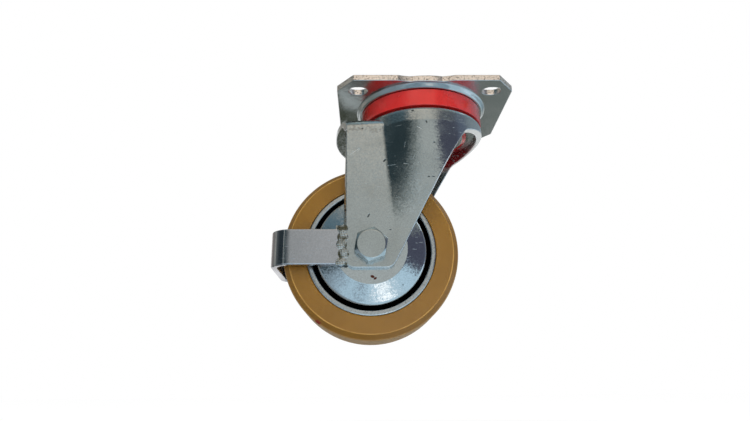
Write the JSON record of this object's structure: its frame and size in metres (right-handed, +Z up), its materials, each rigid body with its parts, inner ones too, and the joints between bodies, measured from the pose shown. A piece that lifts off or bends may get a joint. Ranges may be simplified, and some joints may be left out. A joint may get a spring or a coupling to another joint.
{
  "type": "swivel castor",
  "caption": "Swivel castor with a slotted top plate, a pressed fork on a double ball race, a 100 mm wheel with a polyurethane tread on ball bearings, and a welded foot guard.",
  "frame": {"origin": "centre of the top plate's upper face, on the swivel axis", "axes": "+Z up out of the plate's upper face along the swivel axis; +X towards the leading side, so the wheel trails towards -X at rest; +Y across, towards the axle nut's side"},
  "size_m": [0.1415, 0.085, 0.1485],
  "materials": {
    "plate_zinc": "bright zinc-plated pressed steel",
    "fork_zinc": "bright zinc-plated pressed steel, scuffed",
    "guard_zinc": "bright zinc-plated steel bar",
    "weld_steel": "rough plated weld, yellowed in places",
    "pin_steel": "riveted steel",
    "race_steel": "pressed and plated steel",
    "ball_steel": "hardened polished steel",
    "seal_red": "moulded red plastic",
    "bolt_zinc": "zinc-plated steel",
    "insert_plastic": "moulded nylon",
    "cover_zinc": "bright zinc-plated thin steel sheet",
    "sleeve_steel": "cold-drawn steel tube",
    "rim_alloy": "die-cast aluminium, satin",
    "tread_polyurethane": "cast polyurethane, smooth, mustard brown",
    "bearing_steel": "ground bearing steel",
    "cage_plastic": "moulded nylon cage"
  },
  "bodies": {
    "plate": {"top_plate": "plate_zinc", "king_pin": "pin_steel", "lower_race": "race_steel", "lower_seal": "seal_red"},
    "fork": {"upper_balls": "ball_steel", "lower_balls": "ball_steel", "swivel_seal": "seal_red", "fork": "fork_zinc", "foot_guard": "guard_zinc", "guard_weld_near": "weld_steel", "guard_weld_far": "weld_steel", "axle_bolt": "bolt_zinc", "axle_nut": "bolt_zinc", "axle_nut_insert": "insert_plastic", "axle_sleeve": "sleeve_steel", "thread_guard_near": "cover_zinc", "bearing_spacer_near": "sleeve_steel", "bearing_inner_near": "bearing_steel", "thread_guard_far": "cover_zinc", "bearing_spacer_far": "sleeve_steel", "bearing_inner_far": "bearing_steel"},
    "wheel": {"wheel_rim": "rim_alloy", "tread": "tread_polyurethane", "bearing_outer_near": "bearing_steel", "bearing_balls_near": "ball_steel", "bearing_cage_near": "cage_plastic", "bearing_shield_out_near": "bearing_steel", "bearing_shield_in_near": "bearing_steel", "bearing_outer_far": "bearing_steel", "bearing_balls_far": "ball_steel", "bearing_cage_far": "cage_plastic", "bearing_shield_out_far": "bearing_steel", "bearing_shield_in_far": "bearing_steel"}
  },
  "joints": [
    {"name": "swivel", "type": "hinge", "parent": "plate", "child": "fork", "pos_m": [0, 0, 0], "axis": [0, 0, 1], "continuous": true},
    {"name": "wheel_spin", "type": "hinge", "parent": "fork", "child": "wheel", "pos_m": [-0.0328, 0, -0.0985], "axis": [0, 1, 0], "continuous": true}
  ]
}
